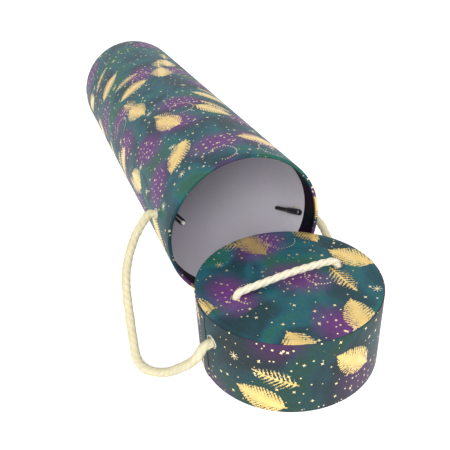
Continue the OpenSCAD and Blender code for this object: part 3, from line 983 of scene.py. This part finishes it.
lid_paper = wrap(
    "lid_paper", LID_R, LID_H, LID_BOARD_T, (RIM_TURN, TOP_TURN),
    ((14, 27, LID_HOLE_Z, 38), (38, 27)), LID_LAP_TURN, LID_PLACE,
)
LID_HOLES = (
    Matrix.Translation((LID_AXIS[0] * MM, LID_AXIS[1] * MM, LID_HOLE_Z * MM))
    @ Matrix.Rotation(LID_HOLE_TURN, 4, "Z") @ Matrix.Rotation(math.pi / 2, 4, "Y")
)
punch(lid_paper, LID_HOLE_D, LID_HOLES)
# The lid's wall print keeps 0.45 of its brightness: painted shade on the upright wall
paint(lid_paper, printed_paper("printed_coated_paper_lid", 172.0, RIM_TURN, painted_light_share=0.45))
for side in (-1, 1):
    burr(lid_paper, LID_HOLES, side, LID_HOLE_D, lambda x, y: math.sqrt(LID_R ** 2 - y ** 2))
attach(lid_paper, "lid")
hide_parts("lid_wrap")


# The lid's top and the base: a disc of the same paper over each closed end. It lies on the
# wrap's turned edge, which shows through as a faint ring. The handle's holes go through the top.
TOP_INSET = 0.6
BASE_INSET = 1.0
TOP_HOLE_D = 5.8
TOP_HOLE_SIDES = 48
DISC_RINGS = (38.5, 26.5, 10, 2)
DISC_MAP_SHIFT = 60


def end_disc(name, outer_r, fold_r, length):
    """A paper disc: its soft edge, the step down inside the turned edge, and its middle, drawn in
    by rings either side of where the handle goes through"""
    high, mid, low = length, length - PAPER_T, length - 2 * PAPER_T
    line = [
        (fold_r, low), (fold_r, mid), (outer_r, mid), (outer_r, high - 0.1),
        (outer_r - 0.03, high - 0.03), (outer_r - 0.1, high), (fold_r + 0.3, high),
        (fold_r - 0.2, high - 0.07), (fold_r - 0.7, mid + 0.05), (fold_r - 1.2, mid),
    ] + [(r, mid) for r in DISC_RINGS]
    made = draw_out(name, line, "NGON", bpy.ops.mesh.extrude_region_move)
    bpy.ops.mesh.select_all(action="SELECT")
    bpy.ops.mesh.normals_make_consistent(inside=False)
    bpy.ops.object.mode_set(mode="OBJECT")
    paper = made.data.uv_layers.new(name="Paper")
    for loop in made.data.loops:
        co = made.data.vertices[loop.vertex_index].co
        paper.data[loop.index].uv = (co.x / MM + DISC_MAP_SHIFT, co.y / MM + DISC_MAP_SHIFT)
    return made


lid_disc = end_disc("lid_disc", LID_R - TOP_INSET, LID_R - TOP_TURN, LID_H)
settle(lid_disc, LID_PLACE)
for side in (-1, 1):
    x, y, z = handle_at(side, HANDLE_HALF, LID_H)
    place = Matrix.Translation((x * MM, y * MM, z * MM))
    punch(lid_disc, TOP_HOLE_D, place, TOP_HOLE_SIDES)
paint(lid_disc, printed_paper("printed_coated_paper_top", 418.0))
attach(lid_disc, "lid")
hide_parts("lid_top_paper")

base_disc = end_disc("base_disc", TUBE_R - BASE_INSET, TUBE_R - BASE_TURN, TUBE_L)
settle(base_disc, TUBE_PLACE)
paint(base_disc, printed_paper("printed_coated_paper_base", 211.0))
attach(base_disc, "tube")
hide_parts("tube_base_paper")


# The toggles: a moulded bar on each rope end inside the mouth, with a thin arm, a shoulder and a
# split socket that grips the rope's end. They keep the rope from pulling out through the wall.
SIDES = ("left", "right")
TOGGLE_EDGE_R = 0.18
TOGGLE_EDGE_ANGLE = math.radians(40)
TOGGLE_MERGE_WITHIN = 0.01

# Moulded polypropylene, black: satin, every edge a little rounded
black_plastic, tree, shader = new_material("moulded_black_plastic", srgb("#1b1a1d"))
place = add(tree, "ShaderNodeTexCoord")
mould = add(tree, "ShaderNodeTexNoise", {}, {
    "Vector": place.outputs["Object"], "Scale": 1500.0, "Detail": 2.0,
})
satin = add(tree, "ShaderNodeMapRange", {}, {"Value": mould, "To Min": 0.3, "To Max": 0.5})
tree.links.new(satin.outputs[0], shader.inputs["Roughness"])

for side in SIDES:
    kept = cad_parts[side + "_toggle"]
    toggle = bpy.data.objects.new(side + "_toggle_bar", kept.data.copy())
    bpy.context.scene.collection.objects.link(toggle)
    bpy.ops.object.select_all(action="DESELECT")
    toggle.select_set(True)
    bpy.context.view_layer.objects.active = toggle
    bpy.ops.object.mode_set(mode="EDIT")
    bpy.ops.mesh.select_all(action="SELECT")
    bpy.ops.mesh.remove_doubles(threshold=TOGGLE_MERGE_WITHIN * MM)
    bpy.ops.object.mode_set(mode="OBJECT")
    rounded = toggle.modifiers.new("rounded", "BEVEL")
    rounded.width = TOGGLE_EDGE_R * MM
    rounded.segments = 2
    rounded.limit_method = "ANGLE"
    rounded.angle_limit = TOGGLE_EDGE_ANGLE
    bpy.ops.object.modifier_apply(modifier=rounded.name)
    bpy.ops.object.shade_smooth_by_angle(angle=SMOOTH_ANGLE)
    paint(toggle, black_plastic)
    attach(toggle, side + "_toggle")
    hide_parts(side + "_toggle")

# The cut ends of the rope in the toggles' sockets, dipped in clear glue that keeps them whole
coat([side + "_rope_tip" for side in SIDES], fibrous(
    "cotton_rope_end", "#e2dfdc", 1800.0, 3.0, ("#c9c5c2", "#f2f0ee"), 0.6,
))


# The floor and the light: a plain white table, pale to the camera and in reflections, which
# keeps the box's own shadow, under three large soft lamps and a pale sky, all in metres.
FLOOR_SIZE = 6
FLOOR_DROP = 0.0002
FLOOR_GLOW = 0.6
SKY_LIGHT = 0.48
LAMPS = (
    ("key_lamp", (-0.7, -0.6, 1.1), (0, 0, 0.03), 0.9, 4.5),
    ("fill_lamp", (0.9, -0.3, 0.9), (0, 0, 0.03), 0.9, 2.0),
    ("front_lamp", (-0.46, -1.36, 0.78), (0, -0.08, 0.04), 0.7, 12.5),
)


def seen(tree):
    """One for the rays that show a thing, straight, mirrored or through glass, and nothing for
    those that only carry its light"""
    rays = add(tree, "ShaderNodeLightPath").outputs
    shown = either(tree, rays["Is Camera Ray"], rays["Is Glossy Ray"])
    return either(tree, shown, rays["Is Transmission Ray"])


bpy.ops.object.select_all(action="DESELECT")
bpy.ops.mesh.primitive_plane_add(size=FLOOR_SIZE, location=(0, 0, -FLOOR_DROP))
floor = bpy.context.object
floor.name = "floor"
bpy.ops.object.transform_apply()
floor_white, tree, shader = new_material("white_table", srgb("#f4f4f4"))
shader.inputs["Roughness"].default_value = 1.0
shader.inputs["Specular IOR Level"].default_value = 0.0
shader.inputs["Emission Color"].default_value = (1, 1, 1, 1)
glow = both(tree, seen(tree), FLOOR_GLOW)
tree.links.new(glow.outputs[0], shader.inputs["Emission Strength"])
paint(floor, floor_white)

world = bpy.data.worlds.new("pale_studio")
bpy.context.scene.world = world
world.use_nodes = True
tree = world.node_tree
tree.nodes.clear()
strength = add(tree, "ShaderNodeMapRange", {}, {
    "Value": seen(tree), "To Min": SKY_LIGHT, "To Max": 1.0,
})
sky = add(tree, "ShaderNodeBackground", {}, {
    "Color": (1, 1, 1, 1), "Strength": strength.outputs[0],
})
add(tree, "ShaderNodeOutputWorld", {}, {"Surface": sky})

for name, place, aim, size, power in LAMPS:
    lamp_data = bpy.data.lights.new(name, "AREA")
    lamp_data.size = size
    lamp_data.energy = power
    lamp = bpy.data.objects.new(name, lamp_data)
    bpy.context.scene.collection.objects.link(lamp)
    lamp.location = place
    aim_line = Vector(aim) - Vector(place)
    lamp.rotation_euler = aim_line.to_track_quat("-Z", "Y").to_euler()
bpy.context.scene.view_settings.view_transform = "Standard"
